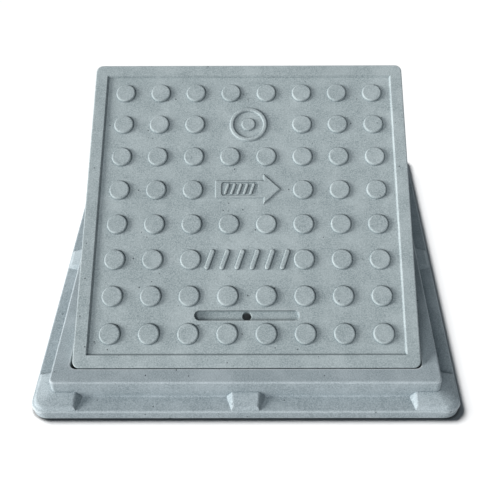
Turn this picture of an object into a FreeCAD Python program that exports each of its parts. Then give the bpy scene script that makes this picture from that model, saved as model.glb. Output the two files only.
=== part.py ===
"""Square pedestrian-duty manhole cover and frame, moulded in filled composite.

Millimetres, +Z up. The origin is the centre of the frame's underside.
-Y is the front edge, the one beside the lifting slot, on which the cover tips open.
The cover is drawn in its own coordinates and then tipped open about its top front edge.
"""
import FreeCAD
import Part

import math
import os

from FreeCAD import Rotation, Vector

# Driving sizes
CLEAR_OPENING = 305.0
COVER_SIZE = 345.0
COVER_GAP = 1.75
FRONT_GAP = 0.5
SIDE_SHIFT = 0.7
FLANGE_SIZE = 421.0
FRAME_HEIGHT = 32.5
FLANGE_THICKNESS = 11.5
OPEN_ANGLE = 27.0

# Frame: upstanding rim around the cover, with a flange outside and a seat inside
RIM_TOP_SIZE = 382.4
RIM_FOOT_SIZE = 384.0
RIM_CORNER_RADIUS = 5.0
RIM_EDGE_RADIUS = 1.8
RIM_FOOT_RADIUS = 1.6
MOUTH_EDGE_RADIUS = 0.5
MOUTH_CORNER_RADIUS = 7.0
FLANGE_CORNER_RADIUS = 16.0
FLANGE_EDGE_RADIUS = 1.6
FLANGE_FOOT_RADIUS = 1.4
SEAT_CORNER_RADIUS = 6.0

# Sloping pads on the flange: one at each corner and one halfway along each side
PAD_HEIGHT = 6.8
PAD_END_HEIGHT = 2.0
MID_PAD_HALF_WIDTH = 13.5
MID_PAD_NARROWING = 1.5
CORNER_PAD_START = 167.0
PAD_SIDE_SPREAD = 5.9
PAD_EDGE_RADIUS = 2.8
PAD_ROOT = 2.5

# Cores moulded into the frame's underside below the rim
CORES_PER_SIDE = 6
CORE_LENGTH = 50.0
CORE_WIDTH = 9.0
CORE_DEPTH = 21.0
CORE_GAP = 9.0
CORE_TAPER = 1.0

# Seat gasket, pressed into a groove in the seat
GROOVE_DEPTH = 2.0
GASKET_WIDTH = 10.0
GASKET_HEIGHT = 4.0
GASKET_SIDE_GAP = 0.25
GASKET_CORNER_RADIUS = 4.0
GASKET_TOP_RADIUS = 1.0
CLOSED_CLEARANCE = 0.05

# Cover plate
COVER_CORNER_RADIUS = 7.5
COVER_EDGE_RADIUS = 1.2
COVER_SIDE_TAPER = 1.0
BORDER_WIDTH = 13.1
BORDER_SLOPE = 1.6
RELIEF = 2.5
PANEL_THICKNESS = 6.5
SKIRT_WIDTH = 22.5
RIB_WIDTH = 6.0
RIB_CELLS = 6
RIB_DROP = 6.0
RIB_TAPER = 0.8
RIB_ZONE_CORNER_RADIUS = 8.0

# Studs on the cover's top
STUDS_PER_SIDE = 8
STUD_PITCH = 39.3
STUD_FOOT_RADIUS = 11.0
STUD_TOP_RADIUS = 10.3
STUD_EDGE_RADIUS = 1.5
BLANK_STUDS = {(column, row) for column in (3, 4) for row in (1, 3, 5)}

# Lifting slot, with a through hole at its centre
SLOT_LENGTH = 106.5
SLOT_WIDTH = 10.5
SLOT_DEPTH = 5.0
SLOT_FLOOR_RADIUS = 2.0
SLOT_ROW = 6.51
SLOT_WALL = 6.0
LIFTING_HOLE_RADIUS = 4.4
HOLE_MOUTH_RADIUS = 4.9
HOLE_MOUTH_DEPTH = 1.2
KEY_ROOM_RADIUS = 18.0

# Plain raised marks: a ring around a boss, an arrow, and rows of slanting bars
EMBLEM_ROW = 1.0
EMBLEM_OUTER_RADIUS = 21.0
EMBLEM_BAND = 5.2
EMBLEM_BOSS_RADIUS = 8.0
EMBLEM_HEIGHT = 2.0
MARK_SLOPE = 0.9
MARK_EDGE_RADIUS = 1.2
ARROW_ROW = 2.98
ARROW_TAIL_X = -35.2
ARROW_NECK_X = 16.6
ARROW_TIP_X = 35.4
ARROW_SHAFT_HALF = 10.4
ARROW_HEAD_HALF = 18.0
ARROW_HEIGHT = 1.5
PANEL_CENTRE_X = -8.9
PANEL_LENGTH = 39.0
PANEL_WIDTH = 16.0
PANEL_DEPTH = 0.8
PANEL_CORNER_RADIUS = 3.0
SMALL_BARS = {"count": 5, "pitch": 6.8, "length": 13.0, "width": 3.0, "height": 1.5}
LARGE_BARS_ROW = 5.0
LARGE_BARS = {"count": 6, "pitch": 15.6, "length": 23.0, "width": 5.2, "height": 2.2}
BAR_LEAN = 18.0
BAR_EDGE_SHARE = 0.6

# How far cutting shapes run past the face they cut, and the greatest height difference of level edges
CUT_THROUGH = 5.0
SAME_HEIGHT = 0.0001

# Sizes that follow from the ones above
COVER_HALF = COVER_SIZE / 2
MOUTH_HALF = COVER_HALF + COVER_GAP
HINGE_Y = FRONT_GAP - MOUTH_HALF
SEAT_HALF = CLEAR_OPENING / 2
PAD_FALL_SPREAD = PAD_SIDE_SPREAD * (1 - PAD_END_HEIGHT / PAD_HEIGHT)
GASKET_TOP = FLANGE_THICKNESS - GROOVE_DEPTH + GASKET_HEIGHT
SKIRT_DEPTH = FRAME_HEIGHT - GASKET_TOP - CLOSED_CLEARANCE
RIB_DEPTH = SKIRT_DEPTH + RIB_DROP
PANEL_UNDERSIDE = -(RELIEF + PANEL_THICKNESS)


def square_wire(half, radius, z):
    """A square outline with rounded corners, centred on the Z axis at height z."""
    flat = half - radius
    bulge = flat + radius * math.sin(math.radians(45))
    edges = []
    for turn in range(4):
        rotation = Rotation(Vector(0, 0, 1), 90 * turn)
        side_start = rotation.multVec(Vector(-flat, -half, z))
        side_end = rotation.multVec(Vector(flat, -half, z))
        corner = rotation.multVec(Vector(bulge, -bulge, z))
        next_start = rotation.multVec(Vector(half, -flat, z))
        edges.append(Part.LineSegment(side_start, side_end).toShape())
        edges.append(Part.Arc(side_end, corner, next_start).toShape())
    return Part.Wire(edges)


def polygon(points, z):
    """A closed outline through (x, y) points at height z."""
    corners = [Vector(x, y, z) for x, y in points]
    return Part.makePolygon(corners + corners[:1])


def sharp_square_wire(half, z):
    return polygon([(-half, -half), (half, -half), (half, half), (-half, half)], z)


def tapered(lower_wire, upper_wire):
    """A solid with flat or conical sides between two matching outlines."""
    return Part.makeLoft([lower_wire, upper_wire], True, True)


def square_prism(half, radius, z_low, z_high):
    return Part.Face(square_wire(half, radius, z_low)).extrude(Vector(0, 0, z_high - z_low))


def edges_at(shape, z, half_min=0.0, half_max=math.inf):
    """Edges lying wholly at height z, at a distance between the two limits from the centre planes."""
    chosen = []
    for edge in shape.Edges:
        box = edge.BoundBox
        reach = max(abs(box.XMin), abs(box.XMax), abs(box.YMin), abs(box.YMax))
        is_level = abs(box.ZMin - z) < SAME_HEIGHT and abs(box.ZMax - z) < SAME_HEIGHT
        if is_level and half_min < reach < half_max:
            chosen.append(edge)
    return chosen


def block(x_low, x_high, y_low, y_high, z_low, z_high):
    return Part.makeBox(x_high - x_low, y_high - y_low, z_high - z_low, Vector(x_low, y_low, z_low))


def four_ways(shape):
    """The shape and its three copies turned by 90, 180 and 270 degrees about Z."""
    return [shape.rotated(Vector(), Vector(0, 0, 1), 90 * turn) for turn in range(4)]


def stadium(length, width, height):
    """A bar with rounded ends along X, standing on the XY plane."""
    reach = (length - width) / 2
    radius = width / 2
    right = Vector(reach, 0, 0)
    left = Vector(-reach, 0, 0)
    up = Vector(0, radius, 0)
    edges = [
        Part.LineSegment(left - up, right - up).toShape(),
        Part.Arc(right - up, right + Vector(radius, 0, 0), right + up).toShape(),
        Part.LineSegment(right + up, left + up).toShape(),
        Part.Arc(left + up, left - Vector(radius, 0, 0), left - up).toShape(),
    ]
    return Part.Face(Part.Wire(edges)).extrude(Vector(0, 0, height))


# Frame

def on_slope(at_rim, at_edge, y):
    """A size at distance y from the centre, changing steadily from the rim's foot to the flange's edge."""
    rim_y = RIM_FOOT_SIZE / 2
    edge_y = FLANGE_SIZE / 2 - FLANGE_EDGE_RADIUS
    return at_rim + (at_edge - at_rim) * (y - rim_y) / (edge_y - rim_y)


def pad_mask(outline):
    """A wedge whose sides lean out towards its foot. outline gives its points for a spread of the sides."""
    spread_per_height = PAD_SIDE_SPREAD / PAD_HEIGHT
    wires = []
    for height in (-PAD_ROOT, PAD_HEIGHT + PAD_ROOT):
        spread = spread_per_height * (PAD_HEIGHT - height)
        wires.append(polygon(outline(spread), FLANGE_THICKNESS + height))
    return tapered(wires[0], wires[1])


def mid_pad_outline(spread):
    inside = RIM_FOOT_SIZE / 2 - PAD_ROOT
    outside = FLANGE_SIZE / 2
    at_rim = MID_PAD_HALF_WIDTH + spread
    at_edge = at_rim - MID_PAD_NARROWING - PAD_FALL_SPREAD
    near = on_slope(at_rim, at_edge, inside)
    far = on_slope(at_rim, at_edge, outside)
    return [(-far, -outside), (far, -outside), (near, -inside), (-near, -inside)]


def corner_pad_outline(spread):
    inside = RIM_FOOT_SIZE / 2 - PAD_ROOT
    outside = FLANGE_SIZE / 2
    at_rim = CORNER_PAD_START - spread
    near = on_slope(at_rim, at_rim + PAD_FALL_SPREAD, inside)
    far = on_slope(at_rim, at_rim + PAD_FALL_SPREAD, outside)
    return [(near, -inside), (far, -outside), (outside, -outside), (outside, -far), (inside, -near)]


def pad_top_edges(pad):
    """The edges along the sides and the outer end of a pad's top, without the seams of its round corner."""
    chosen = []
    for edge in pad.Edges:
        ends = [vertex.Point for vertex in edge.Vertexes]
        reach = [max(abs(end.x), abs(end.y)) for end in ends]
        offset = [min(abs(end.x), abs(end.y)) for end in ends]
        is_above_flange = min(end.z for end in ends) > FLANGE_THICKNESS
        is_outside_rim = max(reach) > RIM_FOOT_SIZE / 2
        runs_out = max(reach) - min(reach) > PAD_EDGE_RADIUS
        is_seam = runs_out and min(offset) > CORNER_PAD_START + PAD_SIDE_SPREAD
        if is_above_flange and is_outside_rim and not is_seam:
            chosen.append(edge)
    return chosen


def pads():
    """Pieces of a ring that slopes from the rim down to the flange's edge, with their top edges rounded."""
    edge_half = FLANGE_SIZE / 2 - FLANGE_EDGE_RADIUS
    edge_radius = FLANGE_CORNER_RADIUS - FLANGE_EDGE_RADIUS
    slope = (edge_half - RIM_FOOT_SIZE / 2) / (PAD_HEIGHT - PAD_END_HEIGHT)
    low = FLANGE_THICKNESS - PAD_ROOT
    high = FLANGE_THICKNESS + PAD_HEIGHT + PAD_ROOT
    ring = tapered(
        square_wire(RIM_FOOT_SIZE / 2 + slope * (PAD_HEIGHT + PAD_ROOT), FLANGE_CORNER_RADIUS, low),
        square_wire(RIM_FOOT_SIZE / 2 - slope * PAD_ROOT, RIM_CORNER_RADIUS, high),
    )
    limit = tapered(
        square_wire(edge_half + PAD_ROOT, edge_radius + PAD_ROOT, low),
        square_wire(edge_half - PAD_HEIGHT - PAD_ROOT, edge_radius - PAD_HEIGHT - PAD_ROOT, high),
    )
    placed = []
    for outline in (mid_pad_outline, corner_pad_outline):
        pad = ring.common(pad_mask(outline)).common(limit)
        pad = pad.makeFillet(PAD_EDGE_RADIUS, pad_top_edges(pad))
        placed.extend(four_ways(pad))
    return placed


def underside_cores():
    """Tapered pockets under the rim, in a row along each side."""
    centre = (MOUTH_HALF + RIM_TOP_SIZE / 2) / 2
    pitch = CORE_LENGTH + CORE_GAP
    row = []
    for index in range(CORES_PER_SIDE):
        x_mid = (index - (CORES_PER_SIDE - 1) / 2) * pitch
        outlines = []
        for z, shrink in ((-CUT_THROUGH, 0.0), (CORE_DEPTH, CORE_TAPER)):
            left = x_mid - CORE_LENGTH / 2 + shrink
            right = x_mid + CORE_LENGTH / 2 - shrink
            front = -centre - CORE_WIDTH / 2 + shrink
            rear = -centre + CORE_WIDTH / 2 - shrink
            outlines.append(polygon([(left, front), (right, front), (right, rear), (left, rear)], z))
        row.append(tapered(outlines[0], outlines[1]))
    return [core for pocket in row for core in four_ways(pocket)]


def gasket_ring(side_gap, z_low, z_high):
    """A square ring centred on the seat's bearing width."""
    middle = (SEAT_HALF + MOUTH_HALF) / 2
    outer_half = middle + GASKET_WIDTH / 2 + side_gap
    inner_half = middle - GASKET_WIDTH / 2 - side_gap
    outer = square_prism(outer_half, GASKET_CORNER_RADIUS + GASKET_WIDTH, z_low, z_high)
    inner = square_prism(inner_half, GASKET_CORNER_RADIUS, z_low, z_high)
    return outer.cut(inner)


def make_frame():
    flange = square_prism(FLANGE_SIZE / 2, FLANGE_CORNER_RADIUS, 0, FLANGE_THICKNESS)
    flange = flange.makeFillet(FLANGE_EDGE_RADIUS, edges_at(flange, FLANGE_THICKNESS))
    flange = flange.makeFillet(FLANGE_FOOT_RADIUS, edges_at(flange, 0))
    rim = tapered(
        square_wire(RIM_FOOT_SIZE / 2, RIM_CORNER_RADIUS, FLANGE_THICKNESS - CUT_THROUGH),
        square_wire(RIM_TOP_SIZE / 2, RIM_CORNER_RADIUS, FRAME_HEIGHT),
    )
    rim = rim.makeFillet(RIM_EDGE_RADIUS, edges_at(rim, FRAME_HEIGHT))
    body = flange.fuse(rim).removeSplitter()
    foot_edges = edges_at(body, FLANGE_THICKNESS, RIM_TOP_SIZE / 4, RIM_FOOT_SIZE / 2 + 1)
    body = body.makeFillet(RIM_FOOT_RADIUS, foot_edges)
    body = body.multiFuse(pads())
    mouth = square_prism(MOUTH_HALF, MOUTH_CORNER_RADIUS, FLANGE_THICKNESS, FRAME_HEIGHT + CUT_THROUGH)
    opening = square_prism(SEAT_HALF, SEAT_CORNER_RADIUS, -CUT_THROUGH, FRAME_HEIGHT)
    body = body.cut([mouth, opening])
    body = body.makeFillet(MOUTH_EDGE_RADIUS, edges_at(body, FRAME_HEIGHT, COVER_HALF / 2, MOUTH_HALF + 1))
    groove = gasket_ring(GASKET_SIDE_GAP, FLANGE_THICKNESS - GROOVE_DEPTH, FLANGE_THICKNESS + CUT_THROUGH)
    return body.cut([groove] + underside_cores()).removeSplitter()


def make_seat_gasket():
    ring = gasket_ring(0.0, FLANGE_THICKNESS - GROOVE_DEPTH, GASKET_TOP)
    return ring.makeFillet(GASKET_TOP_RADIUS, edges_at(ring, GASKET_TOP))


# Cover, drawn flat: its top is at z = 0 and its centre is on the Z axis

def row_y(row):
    """Distance forward or back of the cover's centre for a row of the stud grid, counted from the rear."""
    return ((STUDS_PER_SIDE - 1) / 2 - row) * STUD_PITCH


def plate():
    body = tapered(
        square_wire(COVER_HALF - COVER_SIDE_TAPER, COVER_CORNER_RADIUS, -SKIRT_DEPTH),
        square_wire(COVER_HALF, COVER_CORNER_RADIUS, 0),
    )
    body = body.makeFillet(COVER_EDGE_RADIUS, edges_at(body, 0))
    rib_block = square_prism(COVER_HALF - SKIRT_WIDTH, RIB_ZONE_CORNER_RADIUS, -RIB_DEPTH, -SKIRT_DEPTH / 2)
    return body.fuse(rib_block).removeSplitter()


def field_recess():
    """Cut that sinks the studded field below the raised border."""
    top_half = COVER_HALF - BORDER_WIDTH
    floor_half = top_half - BORDER_SLOPE
    slope = BORDER_SLOPE / RELIEF
    return tapered(
        sharp_square_wire(floor_half, -RELIEF),
        sharp_square_wire(top_half + slope * CUT_THROUGH, CUT_THROUGH),
    )


def rib_cells():
    """Square tapered pockets that leave a grid of ribs under the panel."""
    zone = COVER_SIZE - 2 * SKIRT_WIDTH
    pitch = (zone - RIB_WIDTH) / RIB_CELLS
    mouth_half = (pitch - RIB_WIDTH) / 2
    cell = tapered(
        sharp_square_wire(mouth_half, -RIB_DEPTH - CUT_THROUGH),
        sharp_square_wire(mouth_half - RIB_TAPER, PANEL_UNDERSIDE),
    )
    first = -(RIB_CELLS - 1) / 2
    cells = []
    for column in range(RIB_CELLS):
        for row in range(RIB_CELLS):
            cells.append(cell.translated(Vector((first + column) * pitch, (first + row) * pitch, 0)))
    return cells


def stud():
    cone = Part.makeCone(STUD_FOOT_RADIUS, STUD_TOP_RADIUS, RELIEF)
    return cone.makeFillet(STUD_EDGE_RADIUS, edges_at(cone, RELIEF))


def studs():
    one = stud()
    placed = []
    for column in range(STUDS_PER_SIDE):
        for row in range(STUDS_PER_SIDE):
            if (column, row) not in BLANK_STUDS:
                x = (column - (STUDS_PER_SIDE - 1) / 2) * STUD_PITCH
                placed.append(one.translated(Vector(x, row_y(row), -RELIEF)))
    return placed


def slot_cut():
    """Round-ended groove with a rounded floor, and the countersunk hole through it for the lifting key."""
    groove = stadium(SLOT_LENGTH, SLOT_WIDTH, SLOT_DEPTH + CUT_THROUGH)
    groove = groove.makeFillet(SLOT_FLOOR_RADIUS, edges_at(groove, 0))
    floor = Vector(0, row_y(SLOT_ROW), -RELIEF - SLOT_DEPTH)
    hole = Part.makeCylinder(LIFTING_HOLE_RADIUS, RIB_DEPTH, floor - Vector(0, 0, RIB_DEPTH))
    sink_foot = floor - Vector(0, 0, HOLE_MOUTH_DEPTH)
    sink = Part.makeCone(LIFTING_HOLE_RADIUS, HOLE_MOUTH_RADIUS, HOLE_MOUTH_DEPTH, sink_foot)
    mouth = Part.makeCylinder(HOLE_MOUTH_RADIUS, SLOT_FLOOR_RADIUS, floor)
    return groove.translated(floor).multiFuse([hole, sink, mouth])


def key_room():
    """Round space among the ribs under the lifting hole, so that a hooked key can turn."""
    foot = Vector(0, row_y(SLOT_ROW), -RIB_DEPTH - CUT_THROUGH)
    return Part.makeCylinder(KEY_ROOM_RADIUS, PANEL_UNDERSIDE - foot.z, foot)


def slot_trough():
    """Thickening under the panel that carries the groove."""
    trough = stadium(SLOT_LENGTH + 2 * SLOT_WALL, SLOT_WIDTH + 2 * SLOT_WALL, SLOT_DEPTH + SLOT_WALL)
    return trough.translated(Vector(0, row_y(SLOT_ROW), -RELIEF - SLOT_DEPTH - SLOT_WALL))


def arrow_wire(inset, z):
    """Outline of an arrow pointing along +X, drawn in by inset on every side."""
    head_run = ARROW_TIP_X - ARROW_NECK_X
    head_angle = math.atan2(ARROW_HEAD_HALF, head_run)
    tip_inset = inset / math.sin(head_angle)
    barb_inset = inset * (1 + math.cos(head_angle)) / math.sin(head_angle)
    shaft = ARROW_SHAFT_HALF - inset
    tail = ARROW_TAIL_X + inset
    neck = ARROW_NECK_X + inset
    barb = ARROW_HEAD_HALF - barb_inset
    lower_half = [(tail, -shaft), (neck, -shaft), (neck, -barb)]
    upper_half = [(neck, barb), (neck, shaft), (tail, shaft)]
    return polygon(lower_half + [(ARROW_TIP_X - tip_inset, 0)] + upper_half, z)


def bar_row(bars, centre):
    """A row of slanting raised bars with softened tops."""
    bar = stadium(bars["length"], bars["width"], bars["height"])
    bar = bar.makeFillet(bars["height"] * BAR_EDGE_SHARE, edges_at(bar, bars["height"]))
    bar = bar.rotated(Vector(), Vector(0, 0, 1), 90 - BAR_LEAN)
    first = -(bars["count"] - 1) / 2 * bars["pitch"]
    places = [Vector(first + index * bars["pitch"], 0, 0) for index in range(bars["count"])]
    return [bar.translated(centre + place) for place in places]


def arrow():
    body = tapered(arrow_wire(0.0, 0.0), arrow_wire(MARK_SLOPE, ARROW_HEIGHT))
    recess = block(
        -PANEL_LENGTH / 2, PANEL_LENGTH / 2, -PANEL_WIDTH / 2, PANEL_WIDTH / 2,
        ARROW_HEIGHT - PANEL_DEPTH, ARROW_HEIGHT + CUT_THROUGH,
    )
    upright = [edge for edge in recess.Edges if edge.BoundBox.ZLength > PANEL_DEPTH]
    recess = recess.makeFillet(PANEL_CORNER_RADIUS, upright).translated(Vector(PANEL_CENTRE_X, 0, 0))
    bars = bar_row(SMALL_BARS, Vector(PANEL_CENTRE_X, 0, ARROW_HEIGHT - PANEL_DEPTH))
    return body.cut(recess).multiFuse(bars)


def emblem():
    """A plain ring with sloping sides around a low boss."""
    inner = EMBLEM_OUTER_RADIUS - EMBLEM_BAND
    section = [
        Vector(inner, 0, 0),
        Vector(EMBLEM_OUTER_RADIUS, 0, 0),
        Vector(EMBLEM_OUTER_RADIUS - MARK_SLOPE, 0, EMBLEM_HEIGHT),
        Vector(inner + MARK_SLOPE, 0, EMBLEM_HEIGHT),
    ]
    ring = Part.Face(Part.makePolygon(section + section[:1])).revolve(Vector(), Vector(0, 0, 1), 360)
    boss = Part.makeCone(EMBLEM_BOSS_RADIUS, EMBLEM_BOSS_RADIUS - MARK_SLOPE, EMBLEM_HEIGHT)
    return [piece.makeFillet(MARK_EDGE_RADIUS, edges_at(piece, EMBLEM_HEIGHT)) for piece in (ring, boss)]


def marks():
    placed = [piece.translated(Vector(0, row_y(EMBLEM_ROW), -RELIEF)) for piece in emblem()]
    placed.append(arrow().translated(Vector(0, row_y(ARROW_ROW), -RELIEF)))
    placed.extend(bar_row(LARGE_BARS, Vector(0, row_y(LARGE_BARS_ROW), -RELIEF)))
    return placed


def make_cover():
    body = plate().cut([field_recess(), key_room()] + rib_cells())
    body = body.fuse(slot_trough())
    body = body.cut(slot_cut())
    return body.multiFuse(studs() + marks())


def tipped_open(cover):
    """Sets the cover in the frame's mouth, level with the rim but a little off centre, and tips it up.

    It turns about its top front edge, which leans on the mouth's front edge.
    """
    front_edge = Vector(0, HINGE_Y, FRAME_HEIGHT)
    closed = cover.translated(front_edge + Vector(SIDE_SHIFT, COVER_HALF, 0))
    return closed.rotated(front_edge, Vector(1, 0, 0), OPEN_ANGLE)


def main():
    os.makedirs("parts", exist_ok=True)
    make_frame().exportStep("parts/frame.step")
    make_seat_gasket().exportStep("parts/seat_gasket.step")
    tipped_open(make_cover()).exportStep("parts/cover.step")


main()
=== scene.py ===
"""Looks for the composite manhole cover: materials, studio floor, lights and camera."""
import math

import bmesh
import bpy
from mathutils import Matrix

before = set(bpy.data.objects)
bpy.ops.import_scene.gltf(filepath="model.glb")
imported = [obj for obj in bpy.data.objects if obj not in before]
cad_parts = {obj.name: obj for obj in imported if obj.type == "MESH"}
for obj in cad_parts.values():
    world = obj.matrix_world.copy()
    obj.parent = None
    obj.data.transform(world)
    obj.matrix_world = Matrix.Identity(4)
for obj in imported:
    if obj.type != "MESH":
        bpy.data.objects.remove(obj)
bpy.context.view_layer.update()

MM = 0.001

# Camera at the photograph's viewing angle: metres, degrees, and lens in millimetres
CAMERA_PLACE = (0.0236, -0.6151, 0.6188)
CAMERA_TURN = (45.62, 0.25, 0.10)
CAMERA_LENS = 53.06
CAMERA_SHIFT = (-0.0325, 0.0124)

# Linear colours
COMPOSITE = (0.345, 0.400, 0.412)
COMPOSITE_DARK = (0.170, 0.210, 0.222)
COMPOSITE_LIGHT = (0.560, 0.615, 0.625)
COVER_TINT = (0.920, 0.920, 0.908)
FRAME_TINT = (0.985, 0.985, 1.0)
# Painted shade, multiplied in where crevices and hollows are close to other surfaces
PAINTED_SHADE = (0.22, 0.29, 0.33)
PIT_COLOUR = (0.075, 0.092, 0.100)
FLECK_COLOUR = (0.62, 0.66, 0.66)
RUBBER = (0.018, 0.018, 0.019)
RUBBER_DUST = (0.10, 0.10, 0.098)
FLOOR_PALE = (0.55, 0.55, 0.55)
FLOOR_BOUNCE = (0.12, 0.125, 0.13)
# Ground under the frame, darkened partly as painted shade beneath the opening
GROUND_WITH_PAINTED_SHADE = (0.25, 0.27, 0.28)
SKY = (0.83, 1.0, 1.17)
BACKDROP = (1.0, 1.0, 1.0)
WHITE_LIGHT = (1.0, 1.0, 1.0)
COOL_LIGHT = (0.97, 1.0, 1.03)

# Widths of noise features in the composite
GRAIN = 1.2 * MM
GLOSS_PATCH = 3 * MM
SWELL = 9 * MM
CLOUD = 22 * MM
DRIFT = 120 * MM

# Widths of noise features in the rubber, the floor and the ground
RUBBER_SKIN = 0.6 * MM
RUBBER_GLOSS_PATCH = 5 * MM
DUST_PATCH = 14 * MM
FLOOR_MOTTLE = 500 * MM
GROUND_GRIT = 2 * MM
GROUND_PATCH = 8 * MM

# Scattered spots in the composite, and the part of a spot's radius over which it fades out
PITS = {"spacing": 7 * MM, "radius": 1.0 * MM, "share": 0.5}
SPECKS = {"spacing": 3.2 * MM, "radius": 0.65 * MM, "share": 0.30}
FLECKS = {"spacing": 3.9 * MM, "radius": 0.60 * MM, "share": 0.22}
SPOT_FADE = 0.35

# How far painted shade in corners and hollows, and rubbed edges with a painted highlight, reach
CREVICE_SHADE_REACH = 2.5 * MM
HOLLOW_SHADE_REACH = 30 * MM
EDGE_WEAR_AND_HIGHLIGHT_REACH = 3.0 * MM

# How strongly each feature shows over the ones below it, from 0 to 1
EVENNESS = 0.40
CLOUD_STRENGTH = 0.35
DRIFT_STRENGTH = 0.10
SPOT_STRENGTH = 0.45
# Darkness of the painted shade in hollows and crevices
HOLLOW_SHADE_STRENGTH = 0.24
CREVICE_SHADE_STRENGTH = 0.70
PIT_STRENGTH = 0.80
DUST_STRENGTH = 0.30
PATCH_STRENGTH = 0.5
# Rubbed edges, lightened partly as wear and partly as a painted highlight
COVER_EDGE_WEAR_AND_HIGHLIGHT = 0.20
FRAME_EDGE_WEAR_AND_HIGHLIGHT = 0.85

# Surfaces: roughness from smoothest to roughest, shine, depth of relief, and rounding of edges
COMPOSITE_ROUGHNESS = (0.48, 0.66)
RUBBER_ROUGHNESS = (0.62, 0.82)
DULL = 0.9
COMPOSITE_SHINE = 0.4
RUBBER_SHINE = 0.3
GROUND_SHINE = 0.1
COMPOSITE_RELIEF = 0.12 * MM
RUBBER_RELIEF = 0.06 * MM
GROUND_RELIEF = 0.2 * MM
PIT_DEPTH = 0.5 * MM
EDGE_SOFTNESS = 1.1 * MM

# Rays that measure closeness and that round an edge
CLOSENESS_SAMPLES = 8
EDGE_SAMPLES = 4

# Spans of a noise or of closeness that a ramp stretches from 0 to 1
NOISE_MIDDLE = (0.30, 0.70)
CLOUD_SPAN = (0.35, 0.75)
DRIFT_SPAN = (0.35, 0.70)
DUST_SPAN = (0.45, 0.80)
NEAR_SPAN = (0.10, 0.50)
EDGE_SPAN = (0.10, 0.42)
CONTACT_SHADOW_SPAN = (0.08, 0.34)

# Studio floor: its half width, the half width of the separate piece under the frame, and its shade, with
# a painted contact shadow at the frame
FLOOR_HALF = 8.0
INNER_FLOOR_HALF = 0.190
MOTTLE_DARKEST = 0.98
CONTACT_SHADOW_REACH = 4.5 * MM
CONTACT_SHADOW_DARKEST = 0.42

# Lights: azimuth, elevation and spread in degrees, then strength
KEY_LEFT = (-80, 14.5, 24, 5.22)
FILL_FRONT = (-24, 31, 34, 1.85)
BOUNCE_RIGHT = (100, -10, 40, 1.2)
BOUNCE_BACK = (190, -10, 40, 1.2)
FLOOR_LIGHT = (-121, 49, 26, 7.6)
SKY_STRENGTH = 0.095


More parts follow.
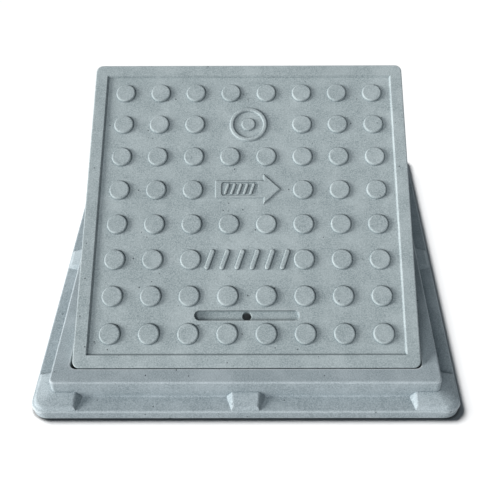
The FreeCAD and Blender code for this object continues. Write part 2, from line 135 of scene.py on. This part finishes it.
class Nodes:
    """Short calls for building a material's node tree."""

    def __init__(self, name):
        self.material = bpy.data.materials.new(name)
        self.material.use_nodes = True
        self.tree = self.material.node_tree
        self.tree.nodes.clear()
        self.place = self.add("ShaderNodeTexCoord").outputs["Object"]

    def add(self, kind, **settings):
        node = self.tree.nodes.new(kind)
        for key, value in settings.items():
            setattr(node, key, value)
        return node

    def feed(self, socket, value):
        """Links another node's output to the socket, or sets the socket's own plain value."""
        if isinstance(value, bpy.types.NodeSocket):
            self.tree.links.new(value, socket)
        elif isinstance(value, tuple) and len(value) == 3 and socket.type == "RGBA":
            socket.default_value = (*value, 1.0)
        else:
            socket.default_value = value

    def noise(self, width, detail=2.0, roughness=0.5):
        """Noise whose features are about width metres across."""
        node = self.add("ShaderNodeTexNoise")
        self.feed(node.inputs["Vector"], self.place)
        self.feed(node.inputs["Scale"], 1.0 / width)
        self.feed(node.inputs["Detail"], detail)
        self.feed(node.inputs["Roughness"], roughness)
        return node.outputs["Fac"]

    def ramp(self, value, span, out_low=0.0, out_high=1.0):
        """The value's way through the span, as a smooth step between the two outputs."""
        node = self.add("ShaderNodeMapRange", clamp=True, interpolation_type="SMOOTHSTEP")
        self.feed(node.inputs["Value"], value)
        self.feed(node.inputs["From Min"], span[0])
        self.feed(node.inputs["From Max"], span[1])
        self.feed(node.inputs["To Min"], out_low)
        self.feed(node.inputs["To Max"], out_high)
        return node.outputs["Result"]

    def maths(self, operation, first, second):
        node = self.add("ShaderNodeMath", operation=operation)
        self.feed(node.inputs[0], first)
        self.feed(node.inputs[1], second)
        return node.outputs[0]

    def mix(self, share, first, second, blend="MIX"):
        """The second colour mixed into the first. Inputs 6 and 7 and output 2 are colours."""
        node = self.add("ShaderNodeMix", data_type="RGBA", blend_type=blend)
        self.feed(node.inputs["Factor"], share)
        self.feed(node.inputs[6], first)
        self.feed(node.inputs[7], second)
        return node.outputs[2]

    def lay(self, mask, strength, below, colour, blend="MIX"):
        """A colour laid over the one below, where the mask is 1 and as strongly as stated."""
        return self.mix(self.maths("MULTIPLY", mask, strength), below, colour, blend)

    def dots(self, spacing, radius, share):
        """Scattered round spots of up to the radius: each cell of the spacing has this chance of one."""
        cells = self.add("ShaderNodeTexVoronoi", feature="F1")
        self.feed(cells.inputs["Vector"], self.place)
        self.feed(cells.inputs["Scale"], 1.0 / spacing)
        chance = self.add("ShaderNodeSeparateColor")
        self.feed(chance.inputs["Color"], cells.outputs["Color"])
        size = self.maths("MULTIPLY", chance.outputs["Green"], radius / spacing)
        near = self.maths("SUBTRACT", cells.outputs["Distance"], size)
        spot = self.ramp(near, (-SPOT_FADE * radius / spacing, 0.0), 1.0, 0.0)
        chosen = self.maths("LESS_THAN", chance.outputs["Red"], share)
        return self.maths("MULTIPLY", spot, chosen)

    def closeness(self, reach, inside=False, local=False):
        """Near 1 in hollows (or, inside, at edges) with surfaces nearer than reach, and 0 in the open."""
        settings = {"samples": CLOSENESS_SAMPLES, "inside": inside, "only_local": local}
        node = self.add("ShaderNodeAmbientOcclusion", **settings)
        self.feed(node.inputs["Distance"], reach)
        return self.maths("SUBTRACT", 1.0, node.outputs["AO"])

    def soft_edges(self, radius):
        """A normal that rounds the piece's edges."""
        node = self.add("ShaderNodeBevel", samples=EDGE_SAMPLES)
        self.feed(node.inputs["Radius"], radius)
        return node.outputs["Normal"]

    def bump(self, height, depth, below=None):
        """A normal from a 0 to 1 height, depth metres deep, on top of the normal below."""
        node = self.add("ShaderNodeBump")
        self.feed(node.inputs["Height"], height)
        self.feed(node.inputs["Distance"], depth)
        if below is not None:
            self.feed(node.inputs["Normal"], below)
        return node.outputs["Normal"]

    def finish(self, colour, roughness, normal, shine):
        shader = self.add("ShaderNodeBsdfPrincipled")
        self.feed(shader.inputs["Base Color"], colour)
        self.feed(shader.inputs["Roughness"], roughness)
        self.feed(shader.inputs["Normal"], normal)
        self.feed(shader.inputs["Specular IOR Level"], shine)
        output = self.add("ShaderNodeOutputMaterial")
        self.feed(output.inputs["Surface"], shader.outputs["BSDF"])
        return self.material


def composite_material(name, tint, edge_wear_and_highlight):
    """Mineral-filled moulding: fine grain, soft clouds of filler, pits, flecks, rubbed edges with a
    painted highlight, and painted shade in crevices and hollows.
    """
    nodes = Nodes(name)
    grain = nodes.noise(GRAIN, detail=3.0, roughness=0.65)
    clouds = nodes.ramp(nodes.noise(CLOUD, detail=3.0), CLOUD_SPAN)
    drift = nodes.ramp(nodes.noise(DRIFT, detail=1.0), DRIFT_SPAN)
    pits = nodes.dots(**PITS)
    # Painted shade: closeness to nearby surfaces darkens crevices and hollows
    crevice_shade = nodes.ramp(nodes.closeness(CREVICE_SHADE_REACH), NEAR_SPAN)
    hollow_shade = nodes.ramp(nodes.closeness(HOLLOW_SHADE_REACH, local=True), NEAR_SPAN)
    # Edge mask for rubbed wear and a painted highlight along rounded edges
    edge = nodes.ramp(nodes.closeness(EDGE_WEAR_AND_HIGHLIGHT_REACH, inside=True, local=True), EDGE_SPAN)

    colour = nodes.mix(nodes.ramp(grain, NOISE_MIDDLE), COMPOSITE_DARK, COMPOSITE_LIGHT)
    colour = nodes.mix(EVENNESS, colour, COMPOSITE)
    colour = nodes.lay(clouds, CLOUD_STRENGTH, colour, COMPOSITE_LIGHT)
    colour = nodes.lay(drift, DRIFT_STRENGTH, colour, COMPOSITE_DARK)
    colour = nodes.lay(nodes.dots(**SPECKS), SPOT_STRENGTH, colour, PIT_COLOUR)
    colour = nodes.lay(nodes.dots(**FLECKS), SPOT_STRENGTH, colour, FLECK_COLOUR)
    # Edges lightened: rubbed wear, and partly a painted highlight
    colour = nodes.lay(edge, edge_wear_and_highlight, colour, FLECK_COLOUR)
    # Painted shade multiplied into hollows and crevices
    colour = nodes.lay(hollow_shade, HOLLOW_SHADE_STRENGTH, colour, PAINTED_SHADE, "MULTIPLY")
    colour = nodes.lay(crevice_shade, CREVICE_SHADE_STRENGTH, colour, PAINTED_SHADE, "MULTIPLY")
    colour = nodes.lay(pits, PIT_STRENGTH, colour, PIT_COLOUR)
    colour = nodes.mix(1.0, colour, tint, "MULTIPLY")

    roughness = nodes.ramp(nodes.noise(GLOSS_PATCH), NOISE_MIDDLE, *COMPOSITE_ROUGHNESS)
    normal = nodes.soft_edges(EDGE_SOFTNESS)
    normal = nodes.bump(nodes.noise(SWELL), COMPOSITE_RELIEF, normal)
    normal = nodes.bump(grain, COMPOSITE_RELIEF, normal)
    normal = nodes.bump(nodes.maths("SUBTRACT", 1.0, pits), PIT_DEPTH, normal)
    return nodes.finish(colour, roughness, normal, COMPOSITE_SHINE)


def rubber_material():
    """Extruded black rubber with a dusty bloom and a fine skin."""
    nodes = Nodes("gasket_rubber")
    dust = nodes.ramp(nodes.noise(DUST_PATCH, detail=4.0), DUST_SPAN)
    colour = nodes.lay(dust, DUST_STRENGTH, RUBBER, RUBBER_DUST)
    roughness = nodes.ramp(nodes.noise(RUBBER_GLOSS_PATCH), NOISE_MIDDLE, *RUBBER_ROUGHNESS)
    normal = nodes.bump(nodes.noise(RUBBER_SKIN, detail=3.0), RUBBER_RELIEF)
    return nodes.finish(colour, roughness, normal, RUBBER_SHINE)


def floor_material():
    """Plain pale floor, with a painted shadow darkening it where it meets the frame.

    Only the camera sees it pale. Other rays see it dark, so that it doesn't light the shaded side.
    """
    nodes = Nodes("floor_pale")
    path = nodes.add("ShaderNodeLightPath")
    mottled = nodes.ramp(nodes.noise(FLOOR_MOTTLE), NOISE_MIDDLE, MOTTLE_DARKEST, 1.0)
    # Painted contact shadow on the floor near the frame
    painted_contact_shadow = nodes.ramp(nodes.closeness(CONTACT_SHADOW_REACH), CONTACT_SHADOW_SPAN, 1.0, CONTACT_SHADOW_DARKEST)
    seen = nodes.mix(1.0, FLOOR_PALE, nodes.maths("MULTIPLY", mottled, painted_contact_shadow), "MULTIPLY")
    colour = nodes.mix(path.outputs["Is Camera Ray"], FLOOR_BOUNCE, seen)
    flat = nodes.add("ShaderNodeNewGeometry").outputs["Normal"]
    return nodes.finish(colour, DULL, flat, shine=0.0)


def ground_material():
    """Dull ground seen through the open frame; its dark colour is partly ground and partly painted shade
    under the frame.
    """
    nodes = Nodes("ground_dull")
    patches = nodes.ramp(nodes.noise(GROUND_PATCH, detail=4.0), NOISE_MIDDLE)
    colour = nodes.lay(patches, PATCH_STRENGTH, GROUND_WITH_PAINTED_SHADE, FLOOR_BOUNCE)
    return nodes.finish(colour, DULL, nodes.bump(nodes.noise(GROUND_GRIT), GROUND_RELIEF), GROUND_SHINE)


def dress(node, material):
    """Gives a CAD node its material."""
    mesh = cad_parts[node].data
    mesh.materials.clear()
    mesh.materials.append(material)


def make_ground(name, corners, faces, material):
    """A flat stage piece at height 0 from (x, y) corners and faces that number them."""
    mesh = bpy.data.meshes.new(name)
    build = bmesh.new()
    points = [build.verts.new((x, y, 0.0)) for x, y in corners]
    for face in faces:
        build.faces.new([points[index] for index in face])
    build.to_mesh(mesh)
    build.free()
    piece = bpy.data.objects.new(name, mesh)
    bpy.context.scene.collection.objects.link(piece)
    mesh.materials.append(material)
    return piece


def square_corners(half):
    return [(-half, -half), (half, -half), (half, half), (-half, half)]


def make_floor():
    """The floor around the frame: four faces between an outer and an inner square."""
    corners = square_corners(FLOOR_HALF) + square_corners(INNER_FLOOR_HALF)
    sides = [(side, (side + 1) % 4, (side + 1) % 4 + 4, side + 4) for side in range(4)]
    return make_ground("floor", corners, sides, floor_material())


def make_inner_floor():
    """The floor under the frame and its opening."""
    return make_ground("inner_floor", square_corners(INNER_FLOOR_HALF), [(0, 1, 2, 3)], ground_material())


def collection_of(name, objects):
    group = bpy.data.collections.new(name)
    for item in objects:
        group.objects.link(item)
    return group


def studio_light(name, setting, colour, lights, blockers=None):
    """An even, distant soft light on the given pieces, shadowed by the blockers or by everything.

    Azimuth 0 is the front, 90 the right and -90 the left. It adds no shine, so no view is dazzled.
    """
    azimuth, elevation, spread, strength = setting
    data = bpy.data.lights.new(name, "SUN")
    data.energy = strength
    data.angle = math.radians(spread)
    data.color = colour
    lamp = bpy.data.objects.new(name, data)
    bpy.context.scene.collection.objects.link(lamp)
    turn = math.radians(azimuth)
    rise = math.radians(elevation)
    lamp.location = (math.sin(turn) * math.cos(rise), -math.cos(turn) * math.cos(rise), math.sin(rise))
    lamp.rotation_euler = (-lamp.location).to_track_quat("-Z", "Y").to_euler()
    lamp.visible_glossy = False
    lamp.light_linking.receiver_collection = lights
    if blockers is not None:
        lamp.light_linking.blocker_collection = blockers


def make_lights(floor, inner_floor):
    """A low key from the left, a softer fill, the floor's own light and the floor's bounce.

    The bounce comes from below the floor, which doesn't block it, and reaches the right and back walls.
    """
    object_only = collection_of("object_only", [*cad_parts.values(), inner_floor])
    floor_only = collection_of("floor_only", [floor])
    frame_only = collection_of("frame_only", [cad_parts["frame"]])
    studio_light("key_left", KEY_LEFT, WHITE_LIGHT, object_only)
    studio_light("fill_front", FILL_FRONT, COOL_LIGHT, object_only)
    studio_light("bounce_right", BOUNCE_RIGHT, COOL_LIGHT, object_only, object_only)
    studio_light("bounce_back", BOUNCE_BACK, COOL_LIGHT, object_only, object_only)
    studio_light("floor_light", FLOOR_LIGHT, WHITE_LIGHT, floor_only, frame_only)


def make_world():
    """A dim sky that lights the object, behind a white backdrop that only the camera sees."""
    world = bpy.data.worlds.new("studio")
    bpy.context.scene.world = world
    world.use_nodes = True
    nodes = world.node_tree.nodes
    links = world.node_tree.links
    sky = nodes["Background"]
    sky.inputs["Color"].default_value = (*SKY, 1.0)
    sky.inputs["Strength"].default_value = SKY_STRENGTH
    backdrop = nodes.new("ShaderNodeBackground")
    backdrop.inputs["Color"].default_value = (*BACKDROP, 1.0)
    path = nodes.new("ShaderNodeLightPath")
    choice = nodes.new("ShaderNodeMixShader")
    links.new(path.outputs["Is Camera Ray"], choice.inputs["Fac"])
    links.new(sky.outputs["Background"], choice.inputs[1])
    links.new(backdrop.outputs["Background"], choice.inputs[2])
    links.new(choice.outputs["Shader"], nodes["World Output"].inputs["Surface"])


def make_camera():
    data = bpy.data.cameras.new("photo_view")
    data.lens = CAMERA_LENS
    data.shift_x, data.shift_y = CAMERA_SHIFT
    camera = bpy.data.objects.new("photo_view", data)
    bpy.context.scene.collection.objects.link(camera)
    camera.location = CAMERA_PLACE
    camera.rotation_euler = [math.radians(angle) for angle in CAMERA_TURN]
    bpy.context.scene.camera = camera


dress("frame", composite_material("frame_composite", FRAME_TINT, FRAME_EDGE_WEAR_AND_HIGHLIGHT))
dress("cover", composite_material("cover_composite", COVER_TINT, COVER_EDGE_WEAR_AND_HIGHLIGHT))
dress("seat_gasket", rubber_material())
make_world()
make_lights(make_floor(), make_inner_floor())
make_camera()
bpy.context.scene.view_settings.view_transform = "Standard"
